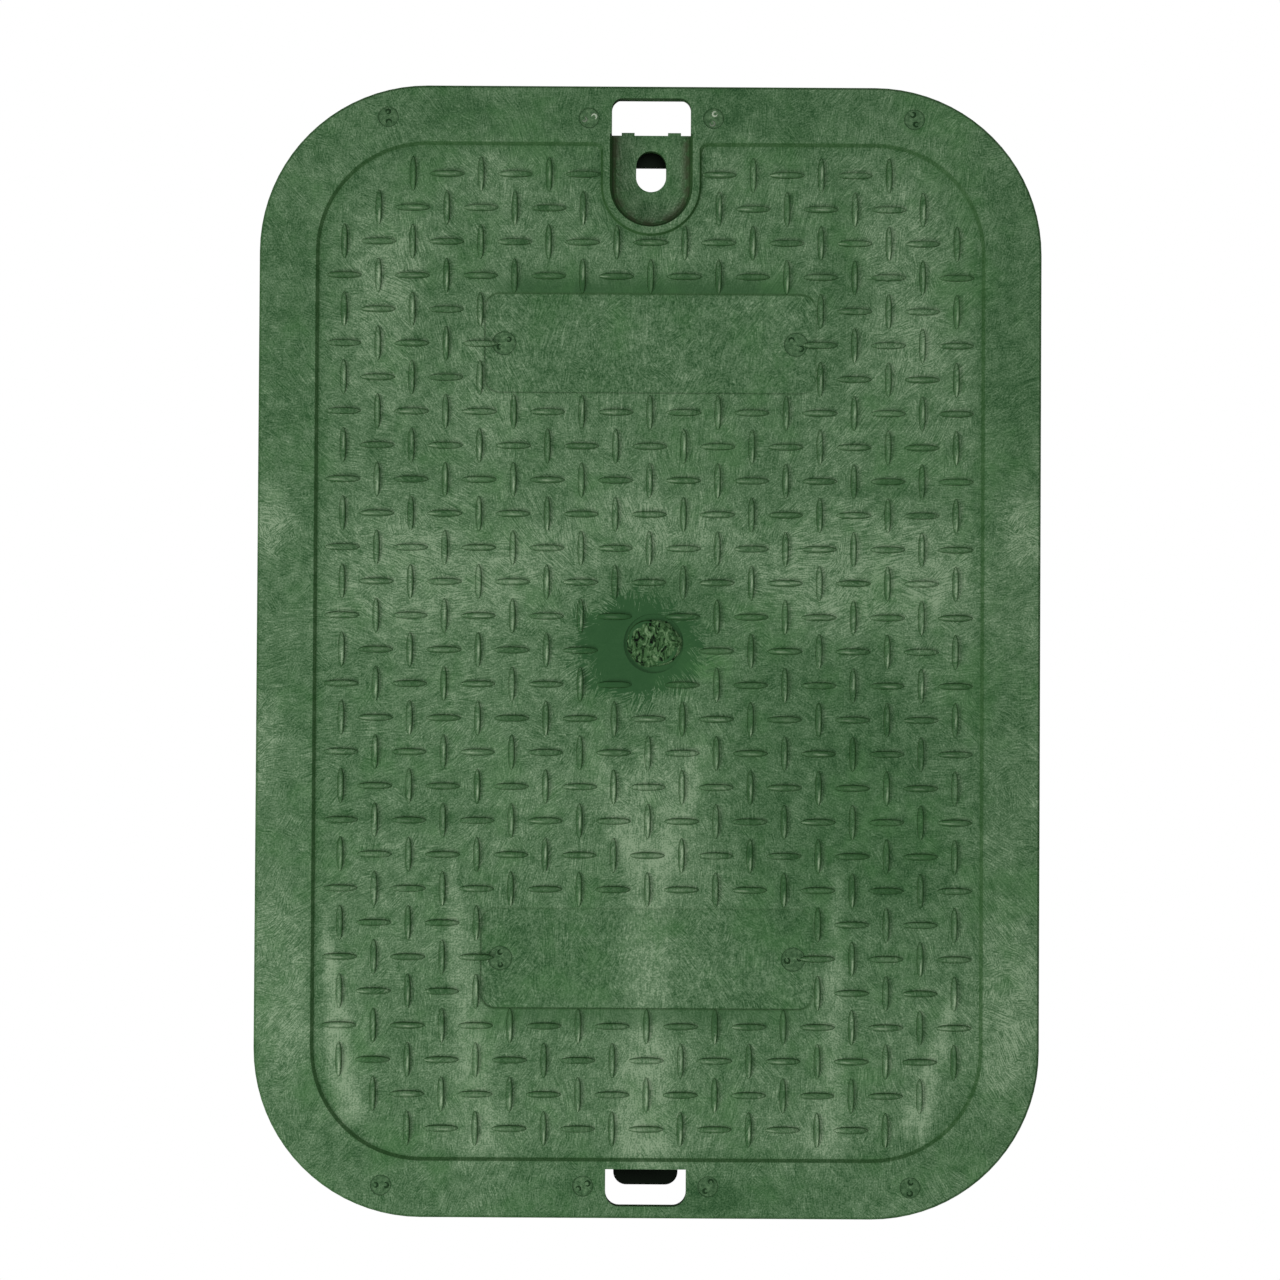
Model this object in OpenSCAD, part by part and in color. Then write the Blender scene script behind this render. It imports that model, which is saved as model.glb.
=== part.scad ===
// Rectangular drop-in cover of an in-ground valve box, moulded in one piece of
// structural foam. The tread side faces +Z, the bolt and lift end is at +Y, and the
// origin is under the middle of the cover, where its deep rib frame would stand.

/* [Cover] */
// Width of the cover
cover_w = 301.5; // [296:0.5:308]
// Length of the cover
cover_l = 435.5; // [430:0.5:442]
// Height from the tread to the foot of the rib frame
cover_h = 38; // [34:0.5:44]
// Radius of the cover's corners in plan
corner_r = 64.5; // [58:0.5:68]
// Thickness of the flange and of the deck under it
deck_t = 6.5; // [5.5:0.1:8]
// Width of the plain flange round the panel
flange_w = 23; // [21:0.1:23]
// Depth of the panel below the flange
panel_recess = 1.3; // [1:0.05:1.8]

/* [Outer skirt] */
// Depth of the skirt from the flange to its seat
skirt_depth = 16; // [13:0.5:20]
// Thickness of the skirt at its seat
skirt_t = 2.8; // [2.6:0.1:3.8]
// Draft of the skirt's faces over their height
skirt_draft = 0.5; // [0.3:0.1:0.9]
// Chamfer along the top edge
edge_chamfer = 0.9; // [0.5:0.1:1.4]

/* [Tread lugs] */
// Distance between neighbouring lugs
lug_pitch = 13.125; // [12.75:0.125:13.5]
// Length of one lug
lug_l = 12.75; // [10.5:0.75:12.75]
// Width of one lug at its middle
lug_w = 2.2; // [1.6:0.1:3]
// Height of a lug's pointed ends
lug_tip_h = 0.25; // [0.15:0.05:0.5]

/* [Plates] */
// Width of the two bare plates
plate_w = 128; // [124:0.5:129]
// Length of each plate along the cover
plate_l = 38.5; // [36:0.5:38.5]
// Distance of each plate's middle from the cover's middle
plate_y = 118.4; // [117.9:0.1:118.5]
// Depth of the plates below the panel
plate_recess = 0.45; // [0.2:0.05:0.8]
// Corner radius of the plates
plate_r = 6; // [3:0.5:10]

/* [Lift slot and pocket] */
// Width of the lift slot
lift_slot_w = 30.5; // [28:0.1:31]
// Width of the pocket at the flange
pocket_w = 32; // [30:0.1:32.4]
// Depth of the pocket's floor below the flange
pocket_depth = 8; // [6:0.25:10]
// Thickness of the pocket's floor
pocket_floor_t = 4.5; // [3.5:0.1:5]
// Distance from the cover's middle to the closed end of the pocket
pocket_end_y = 163.5; // [163:0.25:165]
// Lean of the pocket's walls over their height
pocket_lean = 1; // [0.6:0.1:1.4]
// Width of the raised band round the pocket
pocket_band = 2.65; // [2.4:0.05:2.8]
// Width of the bolt slot
bolt_slot_w = 11.6; // [9:0.1:13]
// Length of the bolt slot
bolt_slot_l = 15.9; // [14:0.1:17]

/* [Tongue] */
// Width of the slot over the tongue
tongue_slot_w = 31; // [29:0.1:31]
// Width of the tongue
tongue_w = 25; // [20:0.5:27]
// Reach of the tongue beyond the rib frame
tongue_reach = 8.5; // [6:0.5:11]
// Thickness of the tongue
tongue_t = 6; // [4:0.5:7]
// Gap between the skirt's seat and the top of the tongue
tongue_gap = 5; // [4:0.5:6]

/* [Ribs] */
// Thickness of the deep frame under the flange
frame_t = 4; // [3.5:0.1:5]
// Thickness of the grid's ribs
rib_t = 3.5; // [3:0.1:4]
// Height of the grid's feet above the foot of the frame
rib_lift = 1; // [0.5:0.25:2.5]

/* [Hidden] */

// Steps of round outlines, from the corners to the smallest pits
corner_fn = 48;
slot_fn = 24;
mark_fn = 16;
lap = 0.5;

// Heights of the levels
z_top = cover_h;
z_panel = z_top - panel_recess;
z_deck = z_top - deck_t;
z_seat = z_top - skirt_depth;
z_floor = z_top - pocket_depth;
z_floor_under = z_floor - pocket_floor_t;
z_tongue = z_seat - tongue_gap;

// Panel inside the flange, whose wall leans back over its height
panel_w = cover_w - 2 * flange_w;
panel_l = cover_l - 2 * flange_w;
panel_r = corner_r - flange_w;
wall_lean = 1.3;
panel_lap = 1.5;

// Rib frame, which drops inside the box that the cover closes
frame_inset = 19.1;
frame_w = cover_w - 2 * frame_inset;
frame_l = cover_l - 2 * frame_inset;
frame_r = corner_r - frame_inset;
frame_face = frame_l / 2;
cells_x = 7;
cells_y = 11;
rib_pitch_x = (frame_w - 2 * frame_t + rib_t) / cells_x;
rib_pitch_y = (frame_l - 2 * frame_t + rib_t) / cells_y;
web_lift = 2;

// Slots through the flange at both ends
slot_in = frame_face + 0.3;
slot_out = cover_l / 2 - 4.6;
lift_slot_r = 4.2;
tongue_slot_r = 5.3;
tongue_r = 5;

// Pocket and its band
pocket_r = pocket_w / 2;
band_r = pocket_r + pocket_band;
band_foot_r = band_r + 0.8;
pocket_mid_y = pocket_end_y + pocket_r;
pocket_foot = 3;
pocket_floor_y = frame_face + 1.2;
pocket_wall = 2;
band_corner_r = 3;
bolt_y = 185.9;
ledge_w = 24;
ledge_y = 189.3;
ledge_t = 4;
ledge_drop = 7.5;
guide_x = 9;
guide_w = 5;
guide_reach = 2.3;
guide_foot = 10;

// Tread lugs on a square lattice
lug_cols = floor(panel_w / 2 / lug_pitch);
lug_rows = floor(panel_l / 2 / lug_pitch);
lug_station = lug_l / 6;
lug_arc_r = (pow(lug_l / 2, 2) + pow(lug_w / 2, 2)) / lug_w;
lug_rise = panel_recess - lug_tip_h;
crown_arc_r = (pow(lug_l / 2, 2) + pow(lug_rise, 2)) / (2 * lug_rise);
lug_edge_margin = 1.2;

// Gate, where the melt entered, a little off the middle
gate_x = 1.9;
gate_y = 2.8;
gate_clear_r = 16;
dish_r = 11.5;
dish_depth = 0.9;
stub_rise = 1.7;

// Round marks of the mould's insert screws, and of the pin near the tongue
plate_mark_r = 4.8;
flange_mark_r = 4.1;
mark_depth = 0.3;
plate_mark_x = 56.3;
flange_mark_x = [24, 101.5];
flange_mark_y = cover_l / 2 - 12.3;
pin_mark_y = 189.7;
pin_mark_depth = 0.1;

module rounded_rect(w, l, r, steps = corner_fn) {
    square([w - 2 * r, l], center = true);
    square([w, l - 2 * r], center = true);
    for (x = [-1, 1], y = [-1, 1])
        translate([x * (w / 2 - r), y * (l / 2 - r)])
            circle(r, $fn = steps);
}

// Slot outline from y0 to y1, with its two far corners rounded
module slot_outline(w, y0, y1, r) {
    translate([-w / 2, y0]) square([w, y1 - y0 - r]);
    translate([r - w / 2, y0]) square([w - 2 * r, y1 - y0]);
    for (x = [-1, 1])
        translate([x * (w / 2 - r), y1 - r])
            circle(r, $fn = slot_fn);
}

// Outline round the pocket: round at its closed end, open at y1
module pocket_outline(r, y1) {
    translate([0, pocket_mid_y]) circle(r, $fn = slot_fn);
    translate([-r, pocket_mid_y]) square([2 * r, y1 - pocket_mid_y]);
}

// Runs a section round the cover's outline; the section's x is the distance from
// the centre of a corner
module round_the_edge() {
    side_x = cover_w - 2 * corner_r;
    side_y = cover_l - 2 * corner_r;
    for (turn = [0:3]) {
        along = turn % 2 == 0 ? side_y : side_x;
        across = turn % 2 == 0 ? side_x : side_y;
        rotate([0, 0, turn * 90]) {
            translate([across / 2, along / 2, 0])
                rotate_extrude(angle = 90, $fn = corner_fn) children();
            translate([across / 2, along / 2, 0])
                rotate([90, 0, 0]) linear_extrude(along) children();
        }
    }
}

// Section of the flange with its drafted skirt and leaning inner wall
module edge_section() {
    inner = panel_r;
    polygon([
        [inner - panel_lap, z_deck],
        [corner_r - skirt_t - 2 * skirt_draft, z_deck],
        [corner_r - skirt_t - skirt_draft, z_seat],
        [corner_r - skirt_draft, z_seat],
        [corner_r, z_top - edge_chamfer],
        [corner_r - edge_chamfer, z_top],
        [inner + wall_lean, z_top],
        [inner, z_panel],
        [inner - panel_lap, z_panel],
    ]);
}

module deck() {
    round_the_edge() edge_section();
    translate([0, 0, z_deck])
        linear_extrude(z_panel - z_deck)
            rounded_rect(panel_w - panel_lap, panel_l - panel_lap, panel_r - panel_lap / 2);
}

// True where a lug at x, y with the given reach stands inside the panel's outline
function in_panel(x, y, reach_x, reach_y) =
    let (
        over_x = abs(x) + reach_x - (panel_w / 2 - panel_r),
        over_y = abs(y) + reach_y - (panel_l / 2 - panel_r),
        limit = panel_r - lug_edge_margin
    )
    max(over_x, over_y) <= limit && norm([max(over_x, 0), max(over_y, 0)]) <= limit;

function on_plate(x, y) = abs(x) <= plate_w / 2 && abs(abs(y) - plate_y) <= plate_l / 2;

function on_pocket(x, y) = abs(x) < band_foot_r && y > pocket_end_y - pocket_band;

function has_lug(x, y, reach_x, reach_y) =
    in_panel(x, y, reach_x, reach_y)
    && !on_plate(x, y)
    && !on_pocket(x, y)
    && norm([x, y]) > gate_clear_r;

function lug_side(x) = sqrt(pow(lug_arc_r, 2) - pow(x, 2)) - lug_arc_r + lug_w / 2;

function lug_crown(x) =
    sqrt(pow(crown_arc_r, 2) - pow(x, 2)) - crown_arc_r + panel_recess;

// Lens in plan, with its long axis along x
module lug_outline() {
    s = lug_station;
    polygon([
        [-lug_l / 2, 0],
        [-s, -lug_side(s)],
        [s, -lug_side(s)],
        [lug_l / 2, 0],
        [s, lug_side(s)],
        [-s, lug_side(s)],
    ]);
}

// Crowned profile of a whole run of lugs, drawn along x with its height in y
module lug_profile(count) {
    s = lug_station;
    crowns = [
        for (i = [-count:count])
            each [
                [i * lug_pitch - lug_l / 2, lug_tip_h],
                [i * lug_pitch - s, lug_crown(s)],
                [i * lug_pitch + s, lug_crown(s)],
                [i * lug_pitch + lug_l / 2, lug_tip_h],
            ],
    ];
    reach = (count + 1) * lug_pitch;
    polygon(concat([[-reach, -lap]], crowns, [[reach, -lap]]));
}

// All lugs of one direction: every second place of the lattice, lying along x when
// turn is 0 and along y when it is 1
module lug_run(turn) {
    reach = (max(lug_cols, lug_rows) + 1) * lug_pitch;
    intersection() {
        translate([0, 0, z_panel - lap])
            linear_extrude(panel_recess + 2 * lap)
                for (i = [-lug_cols:lug_cols], j = [-lug_rows:lug_rows]) {
                    half_x = turn == 0 ? lug_l / 2 : lug_w / 2;
                    half_y = turn == 0 ? lug_w / 2 : lug_l / 2;
                    if (abs(i + j) % 2 == turn && has_lug(i * lug_pitch, j * lug_pitch, half_x, half_y))
                        translate([i * lug_pitch, j * lug_pitch])
                            rotate(turn * 90) lug_outline();
                }
        translate([0, 0, z_panel])
            rotate([90, 0, turn * 90])
                linear_extrude(2 * reach, center = true)
                    lug_profile(turn == 0 ? lug_cols : lug_rows);
    }
}

// Runs half a section round the closed end of the pocket and along its sides to y1
module round_the_pocket(y1) {
    translate([0, pocket_mid_y, 0])
        rotate([0, 0, 180])
            rotate_extrude(angle = 180, $fn = 2 * slot_fn) children();
    for (side = [0, 1])
        translate([0, y1, 0])
            rotate([90, 0, 0])
                linear_extrude(y1 - pocket_mid_y)
                    mirror([side, 0]) children();
}

// Half of the section of the band round the pocket, whose outer face leans out
module band_section() {
    polygon([
        [0, z_panel - lap],
        [band_foot_r, z_panel - lap],
        [band_foot_r, z_panel],
        [band_r, z_top],
        [0, z_top],
    ]);
}

// Rounded corner between the band and the wall of the panel, at x > 0
module band_corner() {
    reach = band_corner_r + wall_lean + lap;
    depth = panel_recess + lap;
    translate([band_foot_r + band_corner_r, panel_l / 2 - band_corner_r, z_panel])
        difference() {
            translate([-band_corner_r - 2 * lap, 0, -lap])
                cube([band_corner_r + 2 * lap, reach, depth]);
            cylinder(
                h = depth,
                r1 = band_corner_r,
                r2 = band_corner_r + wall_lean * depth / panel_recess,
                $fn = slot_fn
            );
        }
}

// Band at flange level that runs round the pocket and joins the flange
module pocket_rim() {
    round_the_pocket(panel_l / 2 + wall_lean + lap) band_section();
    band_corner();
    mirror([1, 0, 0]) band_corner();
}

// Walls and floor of the pocket below the deck
module pocket_box() {
    translate([0, 0, z_floor_under])
        linear_extrude(z_deck - z_floor_under + lap)
            pocket_outline(pocket_r + pocket_wall, frame_face - frame_t / 2);
    translate([-pocket_r, frame_face - frame_t, z_floor_under])
        cube([2 * pocket_r, pocket_floor_y - frame_face + frame_t, pocket_floor_t]);
}

module frame() {
    linear_extrude(z_deck + lap)
        difference() {
            rounded_rect(frame_w, frame_l, frame_r);
            rounded_rect(frame_w - 2 * frame_t, frame_l - 2 * frame_t, frame_r - frame_t);
        }
}

module rib_lines() {
    for (i = [1:cells_x - 1])
        translate([(i - cells_x / 2) * rib_pitch_x, 0])
            square([rib_t, cover_l], center = true);
    for (j = [1:cells_y - 1])
        translate([0, (j - cells_y / 2) * rib_pitch_y])
            square([cover_w, rib_t], center = true);
}

// Grid of ribs inside the frame, and the short webs that tie the frame to the skirt
module ribs() {
    web_w = cover_w - 2 * skirt_t;
    web_l = cover_l - 2 * skirt_t;
    translate([0, 0, rib_lift])
        linear_extrude(z_deck + lap - rib_lift)
            intersection() {
                rib_lines();
                rounded_rect(frame_w - frame_t, frame_l - frame_t, frame_r - frame_t / 2);
            }
    translate([0, 0, z_seat + web_lift])
        linear_extrude(z_deck + lap - z_seat - web_lift)
            intersection() {
                rib_lines();
                difference() {
                    rounded_rect(web_w, web_l, corner_r - skirt_t);
                    rounded_rect(frame_w - frame_t, frame_l - frame_t, frame_r - frame_t / 2);
                }
            }
}

// Tongue that hooks under the box's rim, below its slot
module tongue() {
    translate([0, 0, z_tongue - tongue_t])
        linear_extrude(tongue_t)
            mirror([0, 1])
                slot_outline(tongue_w, frame_face - frame_t / 2, frame_face + tongue_reach, tongue_r);
}

// Ledge behind the bolt slot, and the two guides on the frame under the lift slot
module bolt_end() {
    translate([-ledge_w / 2, ledge_y, z_floor_under - ledge_drop - ledge_t])
        cube([ledge_w, frame_face - frame_t / 2 - ledge_y, ledge_t]);
    for (x = [-1, 1])
        translate([x * guide_x - guide_w / 2, frame_face - frame_t / 2, guide_foot])
            cube([guide_w, frame_t / 2 + guide_reach, z_floor - guide_foot]);
}

// Half of the pocket's section, with leaning walls and a rounded foot
module pocket_section() {
    wall = pocket_r - pocket_lean;
    foot = [
        for (turn = [-90:30:0])
            [
                wall - pocket_foot + pocket_foot * cos(turn),
                z_floor + pocket_foot + pocket_foot * sin(turn),
            ],
    ];
    polygon(concat(
        [[0, z_floor]],
        foot,
        [[pocket_r, z_top], [pocket_r, z_top + lap], [0, z_top + lap]]
    ));
}

module pocket_cuts() {
    round_the_pocket(slot_in + lap) pocket_section();
    translate([0, bolt_y, z_floor_under - lap])
        linear_extrude(pocket_floor_t + 2 * lap)
            rounded_rect(bolt_slot_w, bolt_slot_l, bolt_slot_w / 2 - 0.01, slot_fn);
}

module end_slots() {
    translate([0, 0, z_deck - lap])
        linear_extrude(deck_t + 2 * lap) {
            slot_outline(lift_slot_w, slot_in, slot_out, lift_slot_r);
            mirror([0, 1])
                slot_outline(tongue_slot_w, slot_in, slot_out, tongue_slot_r);
        }
}

module plate_cuts() {
    for (y = [-1, 1])
        translate([0, y * plate_y, z_panel - plate_recess])
            linear_extrude(panel_recess + plate_recess + lap)
                rounded_rect(plate_w, plate_l, plate_r, slot_fn);
}

module insert_marks() {
    for (x = [-1, 1], y = [-1, 1]) {
        translate([x * plate_mark_x, y * plate_y, z_panel - plate_recess - mark_depth])
            cylinder(h = deck_t, r = plate_mark_r, $fn = mark_fn);
        for (mark_x = flange_mark_x)
            translate([x * mark_x, y * flange_mark_y, z_top - mark_depth])
                cylinder(h = deck_t, r = flange_mark_r, $fn = mark_fn);
    }
    translate([0, -pin_mark_y, z_panel - pin_mark_depth])
        cylinder(h = deck_t, r = flange_mark_r, $fn = mark_fn);
}

// Broken stub of foam left in the gate's dish
module gate_stub() {
    rise = stub_rise;
    translate([gate_x, gate_y, z_panel - dish_depth])
        difference() {
            union() {
                translate([0, 0, -lap])
                    cylinder(h = rise * 0.8 + lap, r1 = 9, r2 = 8.4, $fn = mark_fn);
                translate([2.8, -1.2, -lap])
                    cylinder(h = rise + lap, r1 = 7.2, r2 = 6.4, $fn = mark_fn);
                translate([-2.6, 1.7, -lap])
                    cylinder(h = rise * 0.9 + lap, r1 = 7.4, r2 = 6.8, $fn = mark_fn);
            }
            translate([3.4, 2.6, rise + 1.2]) sphere(3, $fn = mark_fn);
            translate([-3.2, -3.4, rise + 0.9]) sphere(2.6, $fn = mark_fn);
            translate([-4.6, 3.2, rise + 0.8]) sphere(2.2, $fn = mark_fn);
        }
}

module cover() {
    color("#52744f") {
        difference() {
            union() {
                deck();
                lug_run(0);
                lug_run(1);
                pocket_rim();
                pocket_box();
                frame();
                ribs();
                tongue();
                bolt_end();
            }
            pocket_cuts();
            end_slots();
            plate_cuts();
            insert_marks();
            translate([gate_x, gate_y, z_panel - dish_depth])
                cylinder(h = deck_t, r = dish_r, $fn = slot_fn);
        }
        gate_stub();
    }
}

cover();
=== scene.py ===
import math
import random

import bpy
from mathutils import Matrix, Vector, noise


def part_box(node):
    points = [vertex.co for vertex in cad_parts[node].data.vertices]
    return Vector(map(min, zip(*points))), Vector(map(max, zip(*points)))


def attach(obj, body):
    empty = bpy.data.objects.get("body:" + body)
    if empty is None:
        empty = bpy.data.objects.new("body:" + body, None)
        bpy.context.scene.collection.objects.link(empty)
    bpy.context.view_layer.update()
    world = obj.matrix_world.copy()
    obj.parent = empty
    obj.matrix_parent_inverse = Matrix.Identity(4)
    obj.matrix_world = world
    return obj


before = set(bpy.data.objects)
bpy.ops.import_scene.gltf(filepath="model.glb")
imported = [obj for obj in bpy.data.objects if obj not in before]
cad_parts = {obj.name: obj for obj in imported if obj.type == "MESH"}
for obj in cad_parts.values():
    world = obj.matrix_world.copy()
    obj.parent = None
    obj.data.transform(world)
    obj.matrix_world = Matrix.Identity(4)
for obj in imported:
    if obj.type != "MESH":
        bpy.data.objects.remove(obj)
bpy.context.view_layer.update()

MM = 0.001

# The cover, its levels and the depths that its source names
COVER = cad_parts["cover"]
HIGH = Vector(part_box("cover")[1])
Z_TOP = HIGH.z
PANEL_RECESS = 1.3 * MM
Z_PANEL = Z_TOP - PANEL_RECESS
PLATE_RECESS = 0.45 * MM
DISH_DEPTH = 0.9 * MM

# Places on the tread, as in the source
LUG_PITCH = 13.125 * MM
LUG_LENGTH = 12.75 * MM
LUG_WIDTH = 2.2 * MM
FLANGE_WIDTH = 23.0 * MM
CORNER_RADIUS = 64.5 * MM
PANEL_HALF = Vector((HIGH.x - FLANGE_WIDTH, HIGH.y - FLANGE_WIDTH))
PANEL_RADIUS = CORNER_RADIUS - FLANGE_WIDTH
LUG_EDGE_MARGIN = 1.2 * MM
PLATE_HALF = Vector((64.0 * MM, 19.25 * MM))
PLATE_Y = 118.4 * MM
PLATE_RADIUS = 6.0 * MM
PLATE_MARK_X = 56.3 * MM
PLATE_MARK_RADIUS = 4.8 * MM
FLANGE_MARK_X = (24.0 * MM, 101.5 * MM)
FLANGE_MARK_Y = HIGH.y - 12.3 * MM
FLANGE_MARK_RADIUS = 4.1 * MM
MARK_FLOOR = 0.2 * MM
MARKS_BESIDE_SLOT = 30.0 * MM
GATE = Vector((1.9 * MM, 2.8 * MM))
GATE_CLEAR = 16.0 * MM
STUB_FOOT = Z_PANEL - DISH_DEPTH
POCKET_BAND_RADIUS = 19.45 * MM
POCKET_BAND_Y = 160.85 * MM
POCKET_MIDDLE_Y = 179.5 * MM
TO_MM = (1000.0, 1000.0, 1000.0)


# ---------------------------------------------------------------- studio


def set_camera():
    """Looks straight down from about 1.5 m, a little below the middle, as the photograph does."""
    height = 1.5
    sensor = 36.0
    frame_px = 1280
    px_size = 0.3845 * MM
    off_x, off_y = -4.4 * MM, -28.9 * MM
    tilt = (1.26, -0.05, 0.33)
    data = bpy.data.cameras.new("camera")
    data.sensor_width = sensor
    data.lens = sensor * height / (frame_px * px_size)
    camera = bpy.data.objects.new("camera", data)
    camera.location = (off_x, off_y, Z_TOP + height)
    camera.rotation_euler = [math.radians(angle) for angle in tilt]
    bpy.context.scene.collection.objects.link(camera)
    bpy.context.scene.camera = camera


def add_light(name, place, size, power):
    data = bpy.data.lights.new(name, "AREA")
    data.shape = "DISK"
    data.size = size
    data.energy = power
    light = bpy.data.objects.new(name, data)
    light.location = place
    aim = Vector((0.0, 0.0, Z_TOP)) - Vector(place)
    light.rotation_euler = aim.to_track_quat("-Z", "Y").to_euler()
    bpy.context.scene.collection.objects.link(light)


def set_light():
    """A broad soft light from the lower left, a larger one overhead and a faint even surround."""
    add_light("key", place=(-1.2, -0.8, 0.95), size=0.8, power=17.0)
    add_light("top", place=(0.15, 0.25, 2.3), size=1.3, power=23.5)
    world = bpy.data.worlds.new("studio")
    world.use_nodes = True
    background = world.node_tree.nodes["Background"]
    background.inputs["Color"].default_value = (1.0, 1.0, 1.0, 1.0)
    background.inputs["Strength"].default_value = 0.22
    bpy.context.scene.world = world
    bpy.context.scene.view_settings.view_transform = "Standard"


def make_floor():
    """A plain floor that reads white, also where it is seen through the cover's slots."""
    half = 3.0
    mesh = bpy.data.meshes.new("floor")
    corners = [(-half, -half, 0.0), (half, -half, 0.0), (half, half, 0.0), (-half, half, 0.0)]
    mesh.from_pydata(corners, [], [(0, 1, 2, 3)])
    floor = bpy.data.objects.new("floor", mesh)
    bpy.context.scene.collection.objects.link(floor)
    material = bpy.data.materials.new("pale_floor")
    material.use_nodes = True
    nodes, links = material.node_tree.nodes, material.node_tree.links
    nodes.remove(nodes["Principled BSDF"])
    plain, seen = nodes.new("ShaderNodeBsdfDiffuse"), nodes.new("ShaderNodeEmission")
    plain.inputs["Color"].default_value = (0.8, 0.8, 0.8, 1.0)
    pick = nodes.new("ShaderNodeMixShader")
    links.new(nodes.new("ShaderNodeLightPath").outputs["Is Camera Ray"], pick.inputs[0])
    links.new(plain.outputs[0], pick.inputs[1])
    links.new(seen.outputs[0], pick.inputs[2])
    links.new(pick.outputs[0], nodes["Material Output"].inputs["Surface"])
    mesh.materials.append(material)


# ---------------------------------------------------------------- material


class Graph:
    """Short calls for building one material's nodes."""

    def __init__(self, name):
        self.material = bpy.data.materials.new(name)
        self.material.use_nodes = True
        self.nodes = self.material.node_tree.nodes
        self.links = self.material.node_tree.links
        self.shader = self.nodes["Principled BSDF"]

    def plug(self, socket, value):
        if isinstance(value, bpy.types.NodeSocket):
            self.links.new(value, socket)
        elif value is not None:
            socket.default_value = value

    def math(self, operation, a, b=None, clamp=False):
        node = self.nodes.new("ShaderNodeMath")
        node.operation = operation
        node.use_clamp = clamp
        self.plug(node.inputs[0], a)
        self.plug(node.inputs[1], b)
        return node.outputs[0]

    def add(self, *values):
        total = values[0]
        for value in values[1:]:
            total = self.math("ADD", total, value)
        return total

    def times(self, a, b):
        return self.math("MULTIPLY", a, b)

    def rest(self, share):
        """What a share leaves of one."""
        return self.math("SUBTRACT", 1.0, share)

    def sway(self, pattern, weight):
        """How far a pattern lies above or below its middle, times a weight."""
        return self.times(self.math("SUBTRACT", pattern, 0.5), weight)

    def vector(self, operation, a, b=None):
        node = self.nodes.new("ShaderNodeVectorMath")
        node.operation = operation
        self.plug(node.inputs[0], a)
        self.plug(node.inputs[1], b)
        return node.outputs["Value" if operation == "LENGTH" else "Vector"]

    def combine(self, x, y, z=0.0):
        node = self.nodes.new("ShaderNodeCombineXYZ")
        for socket, value in zip(node.inputs, (x, y, z)):
            self.plug(socket, value)
        return node.outputs[0]

    def separate(self, vector):
        node = self.nodes.new("ShaderNodeSeparateXYZ")
        self.plug(node.inputs[0], vector)
        return node.outputs

    def noise(self, vector, scale, detail=2.0, roughness=0.5, distortion=0.0):
        node = self.nodes.new("ShaderNodeTexNoise")
        keys = ("Vector", "Scale", "Detail", "Roughness", "Distortion")
        for key, value in zip(keys, (vector, scale, detail, roughness, distortion)):
            self.plug(node.inputs[key], value)
        return node.outputs

    def millimetres(self):
        """Place on the part in mm."""
        place = self.nodes.new("ShaderNodeTexCoord").outputs["Object"]
        return self.vector("MULTIPLY", place, TO_MM)

    def local(self, spot, x, y, turn, scale=(1.0, 1.0, 1.0)):
        """A spot as a small frame sees it, by that frame's middle, turn and scale."""
        node = self.nodes.new("ShaderNodeMapping")
        node.vector_type = "TEXTURE"
        self.plug(node.inputs["Vector"], spot)
        node.inputs["Location"].default_value = (x, y, 0.0)
        node.inputs["Rotation"].default_value = (0.0, 0.0, turn)
        node.inputs["Scale"].default_value = scale
        return node.outputs[0]

    def attribute(self, name):
        node = self.nodes.new("ShaderNodeAttribute")
        node.attribute_name = name
        return node.outputs["Fac"]

    def span(self, value, low, high, to_low=0.0, to_high=1.0, smooth=True):
        node = self.nodes.new("ShaderNodeMapRange")
        node.interpolation_type = "SMOOTHSTEP" if smooth else "LINEAR"
        keys = ("Value", "From Min", "From Max", "To Min", "To Max")
        for key, number in zip(keys, (value, low, high, to_low, to_high)):
            self.plug(node.inputs[key], number)
        return node.outputs["Result"]

    def mix(self, factor, a, b):
        node = self.nodes.new("ShaderNodeMix")
        node.data_type = "RGBA"
        self.plug(node.inputs[0], factor)
        self.plug(node.inputs[6], a)
        self.plug(node.inputs[7], b)
        return node.outputs[2]

    def ramp(self, value, stops):
        node = self.nodes.new("ShaderNodeValToRGB")
        self.plug(node.inputs[0], value)
        elements = node.color_ramp.elements
        while len(elements) < len(stops):
            elements.new(0.5)
        for element, (place, colour) in zip(elements, stops):
            element.position = place
            element.color = colour
        return node.outputs["Color"]

    def surface(self, colour, roughness, specular):
        """Sets the shader's colour and gloss and hands over the material."""
        self.plug(self.shader.inputs["Base Color"], colour)
        self.shader.inputs["Roughness"].default_value = roughness
        self.shader.inputs["Specular IOR Level"].default_value = specular
        return self.material


def paint(red, green, blue):
    """Linear colour of a surface from its 0 to 255 values."""

    def channel(value):
        value /= 255.0
        return value / 12.92 if value <= 0.04045 else ((value + 0.055) / 1.055) ** 2.4

    return (channel(red), channel(green), channel(blue), 1.0)


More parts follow.
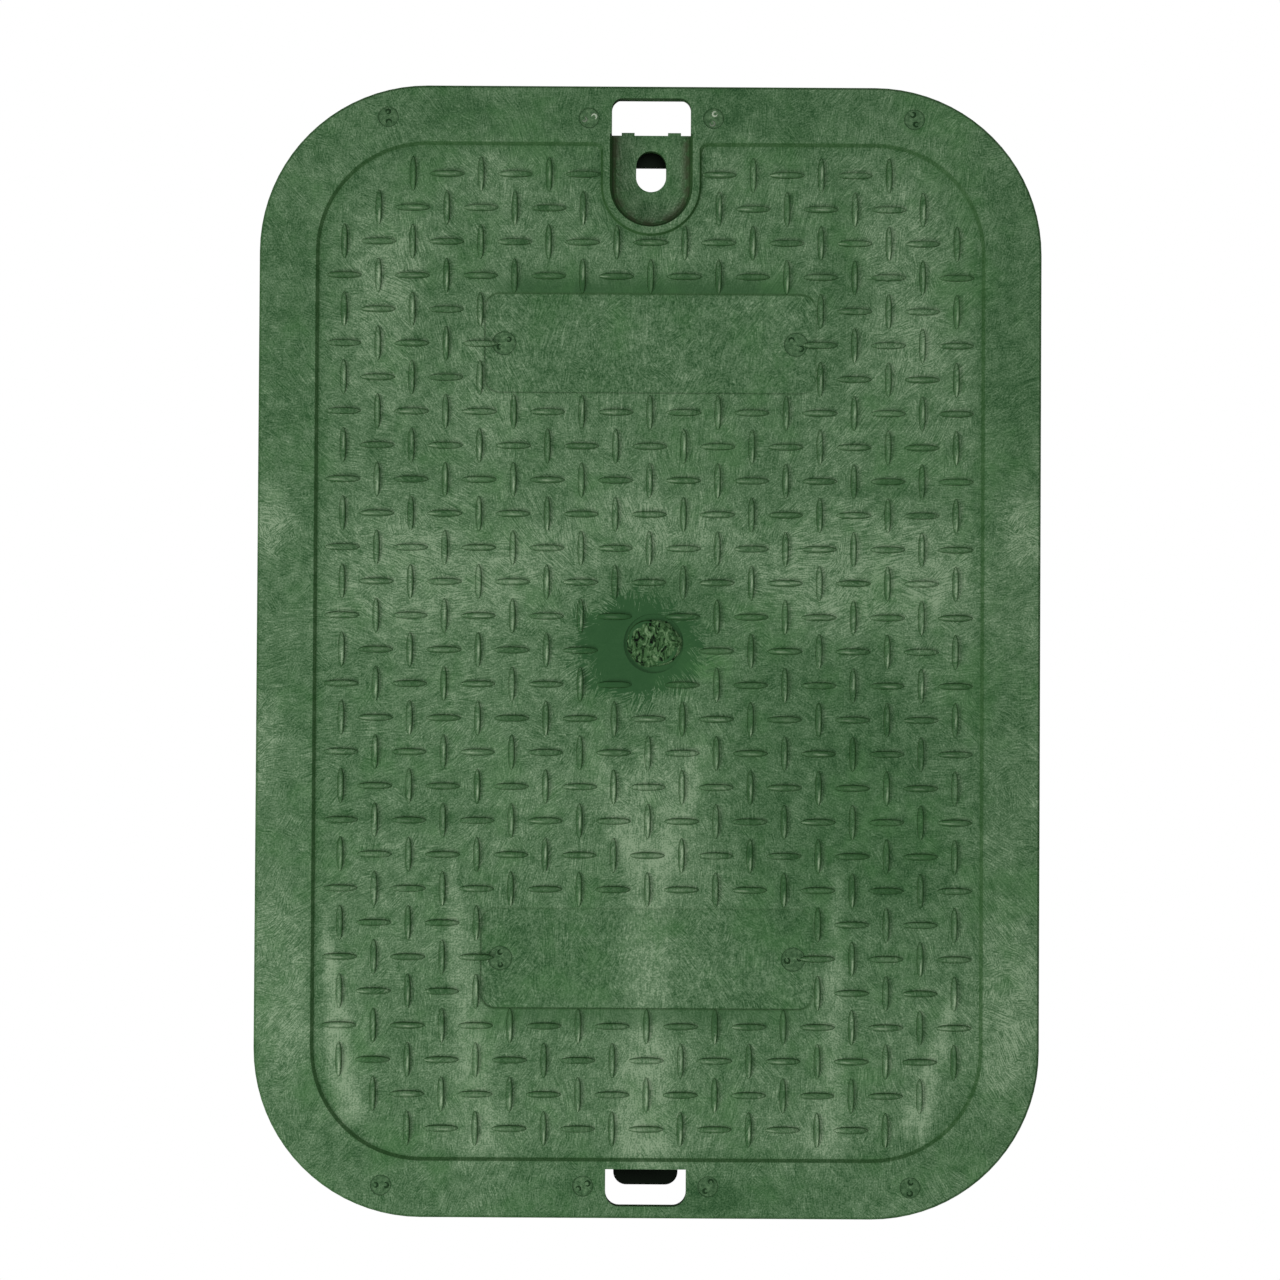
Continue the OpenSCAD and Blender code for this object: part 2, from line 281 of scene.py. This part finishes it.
def hatch(g, mm, warp, cell, spread, fineness, length, shift):
    """Patches of fine parallel strokes, each patch turned roughly away from the gate.

    The cell and the strokes' length are in mm, the fineness is in strokes per mm, and the
    spread is the range of the patches' turns in radians.
    """
    gate = (GATE.x / MM + shift, GATE.y / MM - shift, 0.0)
    moved = g.vector("ADD", mm, (shift, -shift, 0.0))
    voronoi = g.nodes.new("ShaderNodeTexVoronoi")
    voronoi.voronoi_dimensions = "2D"
    g.plug(voronoi.inputs["Vector"], g.vector("ADD", moved, warp))
    voronoi.inputs["Scale"].default_value = 1.0 / cell
    middle = voronoi.outputs["Position"]
    pick = g.separate(voronoi.outputs["Color"])
    out_x, out_y, _ = g.separate(g.vector("SUBTRACT", middle, gate))
    angle = g.add(g.math("ARCTAN2", out_y, out_x), g.sway(pick[0], spread))
    bend = g.vector("MULTIPLY", warp, (0.22, 0.22, 0.0))
    turned = g.nodes.new("ShaderNodeVectorRotate")
    turned.rotation_type = "Z_AXIS"
    g.plug(turned.inputs["Vector"], g.vector("ADD", moved, bend))
    g.plug(turned.inputs["Center"], middle)
    g.plug(turned.inputs["Angle"], g.times(angle, -1.0))
    along, across, _ = g.separate(g.vector("SUBTRACT", turned.outputs[0], middle))
    layer = g.times(pick[1], 40.0)
    place = g.combine(g.times(along, 1.0 / length), g.times(across, fineness), layer)
    return g.noise(place, 1.0, 1.0, 0.5, 0.1)["Fac"]


def flow_strokes(g, mm, warp):
    """Coarse and fine strokes, each over its own share of the tread."""
    coarse = hatch(g, mm, warp, cell=13.0, spread=1.1, fineness=2.6, length=5.2, shift=31.0)
    fine = hatch(g, mm, warp, cell=7.0, spread=2.2, fineness=2.7, length=3.0, shift=77.0)
    share = g.span(g.noise(mm, 0.06, 1.0, 0.6)["Fac"], 0.38, 0.6)
    return g.add(g.times(coarse, share), g.times(fine, g.rest(share)))


# Flow marks that can be seen from a step away, as soft-edged ovals: middle x and y, half
# length and half width in mm, turn in degrees, and how much paler, or darker when below 0
FLOW_MARKS = (
    (0, -56, 24, 18, -89, 0.17),
    (-62, -208, 12, 11, 0, 0.08),
    (24, -210, 24, 8, 0, -0.22),
    (0, -187, 34, 20, 90, 0.12),
    (1, 46, 27, 8, 90, 0.09),
    (-76, 30, 71, 32, 0, 0.17),
    (77, 31, 71, 31, 1, 0.19),
    (0, 48, 44, 16, 0, 0.1),
    (-102, 134, 53, 17, 90, 0.14),
    (-60, 102, 47, 18.5, 90, 0.08),
    (100, 136, 64, 20, 90, 0.12),
    (72, 142, 57, 8, 90, -0.13),
    (-148, 47, 20, 14, 74, 0.26),
    (-148, -35, 26, 12, 88, 0.18),
    (-141, -130, 52, 16, -88, 0.18),
    (147, 47, 21, 13.5, -77, 0.3),
    (136, -138, 53, 16, 83, 0.2),
    (74, -56, 84, 58, -69, -0.19),
    (3, 8, 49, 24, 31, -0.16),
    (0, 209, 124, 16, 0, -0.16),
    (0, -209, 110, 14, 0, -0.06),
    (140, 123, 69, 17.5, -89, -0.12),
    (-140, 128, 62, 15.5, 89, -0.07),
    (-87, -64, 67, 4, 0, -0.12),
    (93, 62, 35, 4, 0, -0.12),
)

# Pale streaks that run down the panel: upper end, lower end and half width at each in mm, strength
STREAKS = (
    (1, -70, -2, -200, 9.5, 13.5, 0.25),
    (-21.5, -36, -5, -86, 4.5, 7, 0.22),
    (21, -34, 8, -86, 4.5, 7, 0.24),
    (-76, -78, -61, -200, 2, 12, 0.22),
    (73.5, -80, 70, -200, 2, 9, 0.22),
    (-124, -106, -113, -186, 2, 7.5, 0.3),
    (119, -128, 101, -188, 2, 7.5, 0.28),
)


def streaks(g, spot, fibres):
    """Sum of the streaks at a spot, their rims and upper ends frayed by the fibres."""
    total = 0.0
    for x0, y0, x1, y1, upper, lower, strength in STREAKS:
        length = math.hypot(x1 - x0, y1 - y0)
        local = g.local(spot, x0, y0, math.atan2(y1 - y0, x1 - x0))
        along, across, _ = g.separate(local)
        half = g.span(along, 0.0, length, upper, lower, smooth=False)
        off = g.add(g.math("DIVIDE", g.math("ABSOLUTE", across), half), fibres)
        body = g.span(off, 0.3, 1.3, strength, 0.0)
        start = g.span(g.math("SUBTRACT", along, g.times(fibres, 14.0)), -4.0, 10.0)
        end = g.span(along, length - 8.0, length + 2.0, 1.0, 0.0)
        total = g.add(g.times(g.times(start, end), body), total)
    return total


def flow_marks(g, spot):
    """Sum of the named flow marks at a spot."""
    total = 0.0
    for x, y, half_length, half_width, turn, strength in FLOW_MARKS:
        local = g.local(spot, x, y, math.radians(turn), (half_length, half_width, 1.0))
        total = g.add(g.span(g.vector("LENGTH", local), 0.35, 1.05, strength, 0.0), total)
    return total


def pale_marks(g, x, y, warp, strokes):
    """How much paler the flow marks and streaks make a spot, and the strokes' weight there."""
    frayed = g.vector("ADD", g.combine(x, y), g.vector("MULTIPLY", warp, (0.45, 0.45, 0.0)))
    hair = g.noise(g.combine(g.times(x, 1.4), g.times(y, 0.09)), 1.0, 2.0, 0.6)["Fac"]
    ribbons = streaks(g, frayed, g.sway(hair, 1.7))
    marks = g.times(flow_marks(g, frayed), g.span(strokes, 0.3, 0.65, 0.6, 1.25))
    marks = g.add(marks, g.times(ribbons, g.span(hair, 0.36, 0.64, 0.65, 1.35)))
    return marks, g.math("SUBTRACT", 1.05, g.times(ribbons, 1.6))


def box_distance(g, x, y, half_x, half_y, corner):
    """Distance in mm from the outline of a rounded rectangle, below 0 inside it."""
    over_x = g.math("SUBTRACT", g.math("ABSOLUTE", x), half_x - corner)
    over_y = g.math("SUBTRACT", g.math("ABSOLUTE", y), half_y - corner)
    past_x, past_y = g.math("MAXIMUM", over_x, 0.0), g.math("MAXIMUM", over_y, 0.0)
    outside = g.vector("LENGTH", g.combine(past_x, past_y))
    inside = g.math("MINIMUM", g.math("MAXIMUM", over_x, over_y), 0.0)
    return g.math("SUBTRACT", g.add(outside, inside), corner)


def pocket_distance(g, x, y):
    """Distance in mm from the pocket's middle line."""
    past = g.math("MINIMUM", g.math("SUBTRACT", y, POCKET_MIDDLE_Y / MM), 0.0)
    return g.vector("LENGTH", g.combine(x, past))


def panel_distance(g, x, y):
    """Distance in mm from the foot of the panel's wall, the pocket's band included."""
    panel = box_distance(g, x, y, PANEL_HALF.x / MM, PANEL_HALF.y / MM, PANEL_RADIUS / MM)
    band = g.math("SUBTRACT", POCKET_BAND_RADIUS / MM, pocket_distance(g, x, y))
    return g.math("MAXIMUM", panel, band)


def plate_shade(g, x, y):
    """Shares of the plates: a painted shade line at their edges, the wake beyond and the inside."""
    past = g.math("SUBTRACT", g.math("ABSOLUTE", y), PLATE_Y / MM)
    edge = box_distance(g, x, past, PLATE_HALF.x / MM, PLATE_HALF.y / MM, PLATE_RADIUS / MM)
    # painted shade along the plates' edges, stronger on their outer edges
    near = g.span(g.math("ABSOLUTE", edge), 0.15, 0.75, 1.0, 0.0)
    line = g.times(near, g.span(past, 14.0, 19.0, 0.3, 0.9))
    beyond = g.times(g.span(past, 19.2, 19.7), g.span(past, 20.5, 30.0, 1.0, 0.0))
    wake = g.times(beyond, g.span(g.math("ABSOLUTE", x), 48.0, 68.0, 1.0, 0.0))
    wake = g.times(wake, g.span(y, -1.0, 1.0, 0.55, 1.0))
    return line, wake, g.span(edge, -0.6, 0.0, 1.0, 0.0)


def smooth_star(g, out_x, out_y, radius, strokes):
    """Smooth dark skin round the gate, wider to the left, with a rim that the strokes fray."""
    angle = g.math("ARCTAN2", out_y, out_x)
    ragged = g.noise(g.combine(g.times(angle, 1.9), g.times(radius, 0.05)), 1.0, 5.0, 0.8)["Fac"]
    limit = g.span(ragged, 0.3, 0.7, 14.5, 28.5, smooth=False)
    limit = g.add(limit, g.times(g.math("COSINE", g.math("SUBTRACT", angle, 3.4)), 6.0))
    limit = g.add(limit, g.times(g.math("COSINE", g.times(angle, 2.0)), 2.6))
    limit = g.add(limit, g.sway(strokes, -26.0))
    return g.span(g.math("SUBTRACT", radius, limit), -1.5, 1.5, 1.0, 0.0)


def pocket_foot_grey(g, x, y, z, mottle):
    """Speckled brownish grey, darker than the green, along the foot of the pocket's walls."""
    deep, upper = Z_TOP / MM - 6.0, Z_TOP / MM - 3.0
    off = pocket_distance(g, x, y)
    foot = g.times(g.span(off, 10.5, 14.0), g.span(z, deep, upper, 1.0, 0.0))
    inside = g.times(foot, g.span(off, 16.0, 17.0, 1.0, 0.0))
    near = g.times(inside, g.span(y, 160.0, 162.0))
    return g.times(near, g.span(mottle, 0.35, 0.6, 0.1, 0.8))


def deep_top_shade(g, x, y, z, level):
    """Painted near-black shade on top of the parts deep below the slots: the ledge and the tongue.
    """
    deep = g.span(z, 18.5, 21.0, 1.0, 0.0)
    middle = g.span(g.math("ABSOLUTE", x), 13.5, 14.5, 1.0, 0.0)
    ends = g.span(g.math("ABSOLUTE", y), 183.0, 184.0)
    return g.times(g.times(g.times(deep, middle), ends), g.span(level, 0.8, 0.95))


def foam_tone(g, drifted, strokes, mottle, grain, marks, stroke_weight, step, plate):
    """Tone of the rough skin, from 0 for the darkest green to 1 for the palest."""
    middle = 0.52
    # painted shade: the panel darker just inside the foot of its wall, a little paler farther in
    wall_foot_shade = g.times(g.span(step, -6.0, -0.5, 0.05, -0.07), g.span(step, 0.2, 1.2, 1.0, 0.0))
    return g.add(
        g.sway(strokes, stroke_weight),
        g.sway(g.noise(drifted, 0.03, 2.0, 0.6)["Fac"], 0.45),
        g.sway(mottle, 0.7),
        g.sway(grain, 1.2),
        marks,
        wall_foot_shade,
        g.times(plate, -0.09),
        middle,
    )


def crest_tone(g, mm, z, star, tone):
    """Takes the worn crests of the lugs a little darker, by patches."""
    lift = g.span(z, Z_PANEL / MM + 0.5, Z_TOP / MM, 0.0, 1.0)
    worn = g.noise(g.vector("ADD", mm, (9.0, 44.0, 0.0)), 0.04, 2.0)["Fac"]
    lift = g.times(lift, g.rest(star))
    return g.add(tone, g.times(lift, g.span(worn, 0.4, 0.6, 0.02, -0.16)))


def vivid_share(g, mm, out_x, out_y, mottle):
    """Share of the more vivid green: in patches, and in a splash to the right of the gate."""
    fresh = g.noise(g.vector("ADD", mm, (61.0, 7.0, 0.0)), 0.045, 3.0, 0.7)["Fac"]
    splash_x = g.times(g.math("SUBTRACT", out_x, 21.0), 1.0 / 15.0)
    splash_y = g.times(g.math("ADD", out_y, 8.5), 1.0 / 8.5)
    splash = g.span(g.vector("LENGTH", g.combine(splash_x, splash_y)), 0.2, 1.1, 0.75, 0.0)
    splash = g.times(splash, g.span(mottle, 0.35, 0.6, 0.35, 1.0))
    return g.math("MAXIMUM", g.span(fresh, 0.45, 0.75, 0.0, 0.42), splash)


def foam_plastic(name, crest=False):
    """Green structural foam: strokes, marbled patches, pale streaks and smooth dark skin."""
    g = Graph(name)
    mm = g.millimetres()
    x, y, z = g.separate(mm)
    out_x, out_y, _ = g.separate(g.vector("SUBTRACT", mm, (GATE.x / MM, GATE.y / MM, 0.0)))
    radius = g.vector("LENGTH", g.combine(out_x, out_y))
    wander = g.vector("SUBTRACT", g.noise(mm, 0.09, 1.0, 0.5)["Color"], (0.5, 0.5, 0.5))
    warp = g.vector("MULTIPLY", wander, (9.0, 9.0, 0.0))
    strokes = flow_strokes(g, mm, warp)
    mottle = g.noise(mm, 0.22, 2.0, 0.65)["Fac"]
    grain = g.noise(mm, 1.5, 1.0, 0.7)["Fac"]
    marks, stroke_weight = pale_marks(g, x, y, warp, strokes)
    step = panel_distance(g, x, y)
    line, wake, plate = plate_shade(g, x, y)
    star = smooth_star(g, out_x, out_y, radius, strokes)

    drifted = g.vector("ADD", mm, warp)
    tone = foam_tone(g, drifted, strokes, mottle, grain, marks, stroke_weight, step, plate)
    calm = g.math("MAXIMUM", g.times(star, 0.74), g.times(wake, 0.72))
    calm_tone = g.times(calm, g.span(star, 0.0, 1.0, 0.14, 0.05))
    tone = g.add(g.times(tone, g.rest(calm)), calm_tone)
    if crest:
        tone = crest_tone(g, mm, z, star, tone)
    stops = (
        (0.0, paint(33, 69, 36)),
        (0.3, paint(58, 92, 57)),
        (0.55, paint(82, 112, 79)),
        (0.8, paint(105, 132, 100)),
        (1.0, paint(134, 157, 126)),
    )
    colour = g.ramp(g.math("ADD", tone, 0.0, clamp=True), stops)
    vivid = g.mix(strokes, paint(40, 84, 38), paint(84, 132, 78))
    colour = g.mix(vivid_share(g, mm, out_x, out_y, mottle), colour, vivid)
    colour = g.mix(g.times(star, 0.55), colour, paint(42, 84, 46))

    normal = g.nodes.new("ShaderNodeTexCoord").outputs["Normal"]
    level = g.math("ABSOLUTE", g.separate(normal)[2])
    # painted shade: steep faces take a darker green, the lugs' sides only in part
    unshaded_share = g.span(level, 0.55, 0.95, 0.35 if crest else 0.0, 1.0)
    side = g.mix(g.span(g.add(mottle, grain), 0.7, 1.3), paint(38, 71, 35), paint(60, 95, 54))
    colour = g.mix(unshaded_share, side, colour)
    # painted shade: a soft dark line along the foot of the panel's wall and the pocket's band, and
    # along the plates' edges
    off_step = g.math("ABSOLUTE", g.math("SUBTRACT", step, 0.6))
    edges = g.math("MAXIMUM", g.span(off_step, 0.2, 1.5, 0.32, 0.0), g.times(line, 0.8))
    colour = g.mix(edges, colour, paint(46, 80, 42))
    if crest:
        shade = g.times(g.attribute("side_shade"), g.rest(g.times(star, 0.4)))
        colour = g.mix(shade, colour, paint(44, 78, 41))
        colour = g.mix(g.attribute("glint"), colour, paint(172, 192, 160))
    # darker brownish grey along the foot of the pocket's walls
    colour = g.mix(pocket_foot_grey(g, x, y, z, mottle), colour, paint(56, 62, 44))
    # painted shade: the upward tops deep below the slots go near-black
    colour = g.mix(deep_top_shade(g, x, y, z, level), colour, paint(12, 24, 12))

    bump = g.nodes.new("ShaderNodeBump")
    bump.inputs["Strength"].default_value = 0.35
    bump.inputs["Distance"].default_value = 0.15 * MM
    g.plug(bump.inputs["Height"], grain)
    g.plug(g.shader.inputs["Normal"], bump.outputs["Normal"])
    return g.surface(colour, roughness=0.62, specular=0.08)


def torn_foam():
    """Torn open foam: dark voids between pale fibres, the voids' near-black being painted shade."""
    g = Graph("torn_foam")
    torn = g.vector("MULTIPLY", g.millimetres(), (1.0, 0.55, 1.0))
    voids = g.noise(torn, 0.5, 5.0, 0.74, 0.9)["Fac"]
    # painted shade: the voids go near-black
    stops = (
        (0.4, paint(5, 11, 6)),
        (0.45, paint(36, 66, 34)),
        (0.52, paint(62, 97, 57)),
        (0.66, paint(116, 144, 106)),
    )
    return g.surface(g.ramp(voids, stops), roughness=0.85, specular=0.1)


def mark_plastic():
    """Blotchy plastic in the round marks, with a dark line along their rims."""
    g = Graph("mark_plastic")
    blotch = g.noise(g.millimetres(), 0.8, 3.0, 0.7)["Fac"]
    stops = ((0.36, paint(48, 81, 47)), (0.52, paint(73, 106, 70)), (0.68, paint(100, 130, 94)))
    colour = g.mix(g.attribute("dim"), g.ramp(blotch, stops), paint(34, 66, 34))
    return g.surface(colour, roughness=0.6, specular=0.15)


def ridge_glint_plastic():
    """Small ridges in the round marks: dark, but painted pale as a highlight beside the lift slot.
    """
    g = Graph("ridge_glint_plastic")
    colour = g.mix(g.attribute("ridge_glint"), paint(25, 54, 25), paint(168, 184, 160))
    return g.surface(colour, roughness=0.6, specular=0.1)


# ---------------------------------------------------------------- pieces


class Shape:
    """Collects points and faces for one mesh."""

    def __init__(self):
        self.points = []
        self.faces = []
        self.values = {}

    def ring(self, points):
        start = len(self.points)
        self.points.extend(points)
        return list(range(start, start + len(points)))

    def point(self, place):
        self.points.append(place)
        return len(self.points) - 1

    def value(self, name, ring, numbers):
        """Keeps a number for each point of a ring, for its material to read."""
        self.values.setdefault(name, {}).update(zip(ring, numbers))

    def bridge(self, first, second):
        count = len(first)
        for k in range(count):
            following = (k + 1) % count
            self.faces.append((first[k], first[following], second[following], second[k]))

    def cap(self, ring, tip, flip=False):
        count = len(ring)
        for k in range(count):
            pair = (ring[k], ring[(k + 1) % count])
            self.faces.append((pair[1], pair[0], tip) if flip else (pair[0], pair[1], tip))

    def piece(self, name, material, smooth=True):
        mesh = bpy.data.meshes.new(name)
        mesh.from_pydata(self.points, [], self.faces)
        mesh.validate()
        mesh.polygons.foreach_set("use_smooth", [smooth] * len(mesh.polygons))
        mesh.materials.append(material)
        for key, known in self.values.items():
            numbers = [known.get(k, 0.0) for k in range(len(self.points))]
            mesh.attributes.new(key, "FLOAT", "POINT").data.foreach_set("value", numbers)
        mesh.update()
        obj = bpy.data.objects.new(name, mesh)
        bpy.context.scene.collection.objects.link(obj)
        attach(obj, "root")
        return obj


def circle(steps):
    """Angles of the points on a ring."""
    return [2.0 * math.pi * k / steps for k in range(steps)]


def in_panel(x, y, reach_x, reach_y):
    """Whether a lug's box stays clear of the panel's wall."""
    limit = PANEL_RADIUS - LUG_EDGE_MARGIN
    over_x = abs(x) + reach_x - (PANEL_HALF.x - PANEL_RADIUS)
    over_y = abs(y) + reach_y - (PANEL_HALF.y - PANEL_RADIUS)
    corner = math.hypot(max(over_x, 0.0), max(over_y, 0.0))
    return max(over_x, over_y) <= limit and corner <= limit


def lug_places():
    """Middle and direction of every tread lug, by the source's own rule."""
    columns = int(PANEL_HALF.x / LUG_PITCH)
    rows = int(PANEL_HALF.y / LUG_PITCH)
    for i in range(-columns, columns + 1):
        for j in range(-rows, rows + 1):
            x, y = i * LUG_PITCH, j * LUG_PITCH
            upright = (i + j) % 2 == 1
            half_x, half_y = LUG_LENGTH / 2, LUG_WIDTH / 2
            if upright:
                half_x, half_y = half_y, half_x
            on_plate = abs(x) <= PLATE_HALF.x and abs(abs(y) - PLATE_Y) <= PLATE_HALF.y
            on_pocket = abs(x) < POCKET_BAND_RADIUS and y > POCKET_BAND_Y
            near_gate = math.hypot(x, y) <= GATE_CLEAR
            if in_panel(x, y, half_x, half_y) and not (on_plate or on_pocket or near_gate):
                yield x, y, upright


def add_lug(shape, x, y, upright, rng):
    """One spindle with sloping sides, a rounded crown and ends that fade into the panel."""
    half = 6.85 * MM
    rise = 1.295 * MM
    sunk = 0.08 * MM
    # half width in mm, share of the height, darkness and share of the glint of each point
    section = (
        (1.36, None, 0.0, 0.0),
        (1.17, 0.6, 0.3, 0.0),
        (1.01, 0.95, 0.85, 0.0),
        (0.72, 0.98, 1.0, 0.0),
        (0.3, 1.0, 0.0, 0.0),
        (-0.3, 1.0, 0.0, 1.0),
        (-0.72, 0.98, 1.0, 0.0),
        (-1.01, 0.95, 0.85, 0.0),
        (-1.17, 0.6, 0.3, 0.0),
        (-1.36, None, 0.0, 0.0),
    )
    stations = (-0.94, -0.8, -0.6, -0.32, 0.0, 0.32, 0.6, 0.8, 0.94)
    wear = rng.uniform(-0.02, 0.0) * MM
    shade = rng.uniform(0.38, 0.78)
    glint = rng.choice((0.15, 0.35, 0.6, 0.85) if upright else (0.0, 0.15, 0.3, 0.5))
    crown = 0.0 if upright else rng.uniform(0.1, 0.35)
    lit_end = rng.uniform(-0.9, 0.2)

    def spot(along, across, height):
        if upright:
            return (x - across, y + along, Z_PANEL + height)
        return (x + along, y + across, Z_PANEL + height)

    rings = []
    for share in stations:
        taper = (1.0 - abs(share) ** 3) ** 0.6
        top = (rise + wear) * (1.0 - abs(share) ** 4)
        lit = max(0.0, 1.0 - abs(share - lit_end) / 0.5)
        heights = [-sunk if lift is None else lift * top for _, lift, _, _ in section]
        widths = [wide * taper * MM for wide, *_ in section]
        ring = shape.ring([spot(share * half, *pair) for pair in zip(widths, heights)])
        shape.value("side_shade", ring, [max(shade * dark, crown) for _, _, dark, _ in section])
        shape.value("glint", ring, [glint * lit * bright for *_, bright in section])
        rings.append(ring)
    for first, second in zip(rings, rings[1:]):
        shape.bridge(first, second)
    shape.cap(rings[0], shape.point(spot(-half, 0.0, -sunk)), flip=True)
    shape.cap(rings[-1], shape.point(spot(half, 0.0, -sunk)))


def tread_lugs(material):
    rng = random.Random(11)
    shape = Shape()
    for x, y, upright in lug_places():
        add_lug(shape, x, y, upright, rng)
    shape.piece("tread_lugs", material)


def torn_stub(material):
    """Rough torn foam on the gate's broken stub."""
    shape = Shape()
    rng = random.Random(5)
    rings = []
    radius = 9.9 * MM
    broken = 1.85 * MM
    highest = Z_TOP - STUB_FOOT - 0.03 * MM
    # share of the outline, height above the dish
    levels = [(1.0, -0.1 * MM), (0.97, 0.9 * MM), (0.9, 1.45 * MM), (0.78, 1.75 * MM)]
    levels += [(share, broken) for share in (0.64, 0.5, 0.36, 0.22, 0.1)]
    for share, height in levels:
        ring = []
        for turn in circle(56):
            uneven = noise.noise(Vector((math.cos(turn) * 1.6, math.sin(turn) * 1.6, 4.0)))
            outline = radius * (1.0 + 0.1 * uneven)
            reach = outline * share * (1.0 + 0.03 * rng.uniform(-1.0, 1.0))
            across = Vector((math.cos(turn) * 1.05, math.sin(turn) * 0.95)) * reach
            rough = noise.fractal(Vector((across.x, across.y, 0.0)) * 420.0, 0.6, 2.1, 4)
            z = min(height + (0.28 * MM * rough if share < 0.95 else 0.0), highest)
            ring.append((GATE.x + across.x, GATE.y + across.y, STUB_FOOT + z))
        rings.append(shape.ring(ring))
    for first, second in zip(rings, rings[1:]):
        shape.bridge(first, second)
    shape.cap(rings[-1], shape.point((GATE.x, GATE.y, STUB_FOOT + 1.8 * MM)))
    shape.piece("torn_gate_stub", material, smooth=False)


# Direction in degrees from one ridge to the other in each mark, in the order of mark_places
MARK_LEANS = (90, 30, 0, 40, 15, 95, 10, 60, 85, 138, 75, 110)


def mark_places():
    """Middle, radius and surface height of each round mark left by the mould's insert screws."""
    for x in (-1, 1):
        for y in (-1, 1):
            yield Vector((x * PLATE_MARK_X, y * PLATE_Y)), PLATE_MARK_RADIUS, Z_PANEL - PLATE_RECESS
            for mark_x in FLANGE_MARK_X:
                yield Vector((x * mark_x, y * FLANGE_MARK_Y)), FLANGE_MARK_RADIUS, Z_TOP


def round_marks(disc_material, ridge_material):
    """Blotchy discs in the marks, each with a dark rim and two small ring-shaped ridges."""
    rng = random.Random(23)
    discs = Shape()
    ridges = Shape()
    for (middle, radius, level), degrees in zip(mark_places(), MARK_LEANS):
        seed = rng.uniform(0.0, 90.0)
        dim = rng.uniform(0.0, 0.3)
        rings = []
        floor_height = level - MARK_FLOOR
        levels = (
            # share of the radius, height in mm, darkness
            (0.96, -0.12, 0.8),
            (0.93, 0.0, 0.8),
            (0.85, 0.0, max(dim, 0.3)),
            (0.6, 0.02, dim),
            (0.3, 0.0, dim),
        )
        for share, height, dark in levels:
            ring = []
            for turn in circle(32):
                across = Vector((math.cos(turn), math.sin(turn))) * radius * share
                rough = noise.noise(Vector((across.x * 900.0, across.y * 900.0, seed)))
                z = floor_height + (height + 0.07 * rough) * MM
                ring.append((middle.x + across.x, middle.y + across.y, z))
            rings.append(discs.ring(ring))
            discs.value("dim", rings[-1], [dark] * len(ring))
        for first, second in zip(rings, rings[1:]):
            discs.bridge(first, second)
        discs.cap(rings[-1], discs.point((middle.x, middle.y, floor_height)))
        lean = Vector((math.cos(math.radians(degrees)), math.sin(math.radians(degrees))))
        near_slot = middle.y > 0.0 and abs(middle.x) < MARKS_BESIDE_SLOT
        beside_slot = level == Z_TOP and near_slot
        for side in (-1, 1):
            centre = middle + lean * side * radius * rng.uniform(0.46, 0.53)
            # painted highlight on the ridges beside the lift slot, stronger on one side
            ridge_glint = (0.9 if side == 1 else 0.35) if beside_slot else 0.0
            add_ridge(ridges, centre, floor_height, rng, ridge_glint)
    discs.piece("mark_discs", disc_material)
    ridges.piece("mark_ridges", ridge_material)


def add_ridge(shape, centre, level, rng, ridge_glint):
    """A small worn ridge, bent into most of a ring."""
    radius = rng.uniform(0.8, 1.0) * MM
    tube = rng.uniform(0.34, 0.46) * MM
    start = rng.uniform(0.0, 2.0 * math.pi)
    sweep = rng.uniform(0.6, 0.9) * 2.0 * math.pi
    rings = []
    stations = 11
    for k in range(stations):
        share = k / (stations - 1)
        turn = start + sweep * share
        fade = tube * max(0.15, math.sin(math.pi * share)) ** 0.5
        out = Vector((math.cos(turn), math.sin(turn)))
        ring = []
        for roll in circle(6):
            reach = radius + fade * math.cos(roll)
            z = level + fade * (0.1 + 0.25 * math.sin(roll))
            ring.append((centre.x + out.x * reach, centre.y + out.y * reach, z))
        rings.append(shape.ring(ring))
        shape.value("ridge_glint", rings[-1], [ridge_glint] * len(ring))
    for first, second in zip(rings, rings[1:]):
        shape.bridge(first, second)
    for ring, flip in ((rings[0], True), (rings[-1], False)):
        middle = sum((Vector(shape.points[k]) for k in ring), Vector()) / len(ring)
        tip = shape.point(tuple(middle))
        shape.value("ridge_glint", (tip,), (ridge_glint,))
        shape.cap(ring, tip, flip)


def dress_cover(material):
    COVER.data.materials.clear()
    COVER.data.materials.append(material)


set_camera()
set_light()
make_floor()
dress_cover(foam_plastic("green_foam_plastic"))
tread_lugs(foam_plastic("green_foam_crests", crest=True))
torn_stub(torn_foam())
round_marks(mark_plastic(), ridge_glint_plastic())
